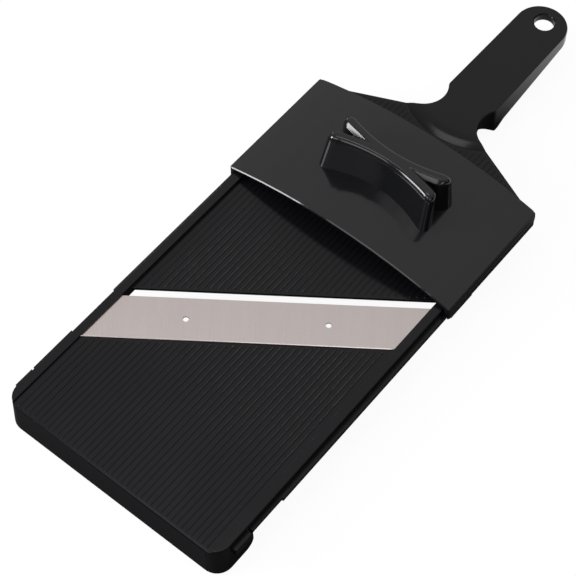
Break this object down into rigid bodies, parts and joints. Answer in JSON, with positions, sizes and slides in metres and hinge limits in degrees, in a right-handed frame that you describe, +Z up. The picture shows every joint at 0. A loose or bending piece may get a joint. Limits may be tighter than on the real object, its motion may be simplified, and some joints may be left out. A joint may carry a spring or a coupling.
{
  "type": "cabbage slicer",
  "caption": "Flat slicing board with a slanted steel blade, ribbed tables, a handle with a hanging hole, and an arched food guard with a grip that slides along the side rails.",
  "frame": {"origin": "centre of the overall box, at its base, which is the level of the front foot's lower edge", "axes": "+Z up out of the tables, +Y from the front foot towards the handle, +X to the right of someone who looks from the foot to the handle"},
  "size_m": [0.1516, 0.3962, 0.0572],
  "materials": {
    "board_plastic": "fine satin, black",
    "guard_plastic": "glossy, black",
    "blade_steel": "ground satin steel",
    "pin_steel": "bright drawn steel"
  },
  "bodies": {
    "board_body": {"board": "board_plastic", "blade": "blade_steel"},
    "guard_body": {"guard_plate": "guard_plastic", "guard_grip": "guard_plastic", "pin_carrier": "guard_plastic", "pin_01": "pin_steel", "pin_02": "pin_steel", "pin_03": "pin_steel", "pin_04": "pin_steel", "pin_05": "pin_steel", "pin_06": "pin_steel", "pin_07": "pin_steel", "pin_08": "pin_steel", "pin_09": "pin_steel", "pin_10": "pin_steel", "grip_screw_left": "pin_steel", "grip_screw_right": "pin_steel"}
  },
  "joints": [
    {"name": "guard_slide", "type": "slide", "parent": "board_body", "child": "guard_body", "axis": [0, 1, 0], "range_m": [-0.1644, 0]}
  ]
}
